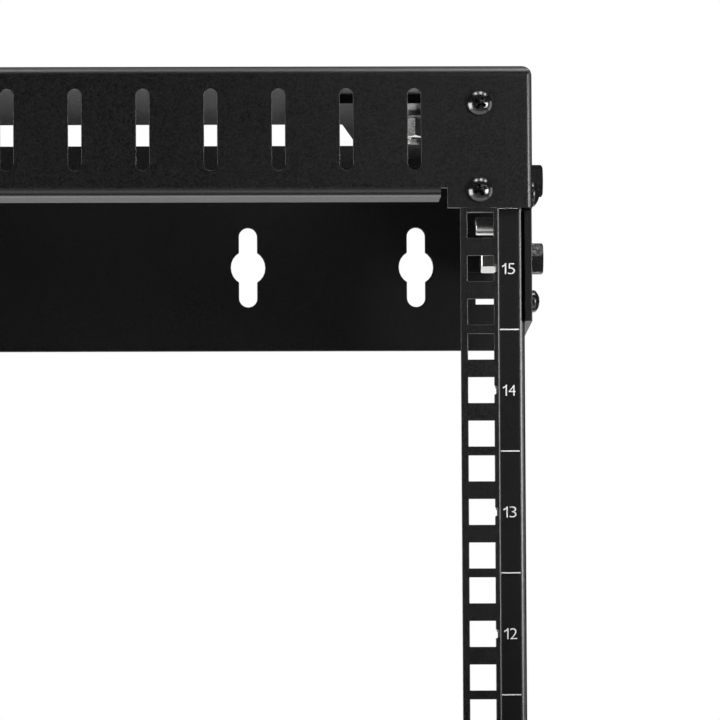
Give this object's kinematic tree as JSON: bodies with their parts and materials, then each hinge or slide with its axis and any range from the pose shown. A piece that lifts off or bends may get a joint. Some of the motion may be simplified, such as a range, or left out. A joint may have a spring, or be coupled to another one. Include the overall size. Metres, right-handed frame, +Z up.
{
  "type": "wall-mount open frame rack",
  "caption": "Black open frame equipment rack with square-hole rails, slotted beams, side plates, wall arms and keyhole wall plates, bolted together from folded sheet.",
  "frame": {"origin": "on the wall face, at the middle of the lower wall plate's bottom edge", "axes": "+X to the right seen from the front, +Y towards the wall, +Z up"},
  "size_m": [0.5032, 0.3048, 0.7717],
  "materials": {
    "black_powder_coat": "fine textured black powder coat on steel sheet",
    "zinc_hardware": "bright zinc-plated steel on bolt ends and nuts",
    "black_hardware": "black plated screw and bolt heads, half gloss",
    "white_print": "white printed unit lines and numbers"
  },
  "bodies": {
    "root": {"top_beam": "black_powder_coat", "bottom_beam": "black_powder_coat", "top_wall_plate": "black_powder_coat", "bottom_wall_plate": "black_powder_coat", "right_rail": "black_powder_coat", "left_rail": "black_powder_coat", "upper_right_side_plate": "black_powder_coat", "upper_right_wall_arm": "black_powder_coat", "upper_left_side_plate": "black_powder_coat", "upper_left_wall_arm": "black_powder_coat", "lower_right_side_plate": "black_powder_coat", "lower_right_wall_arm": "black_powder_coat", "lower_left_side_plate": "black_powder_coat", "lower_left_wall_arm": "black_powder_coat"}
  },
  "joints": []
}
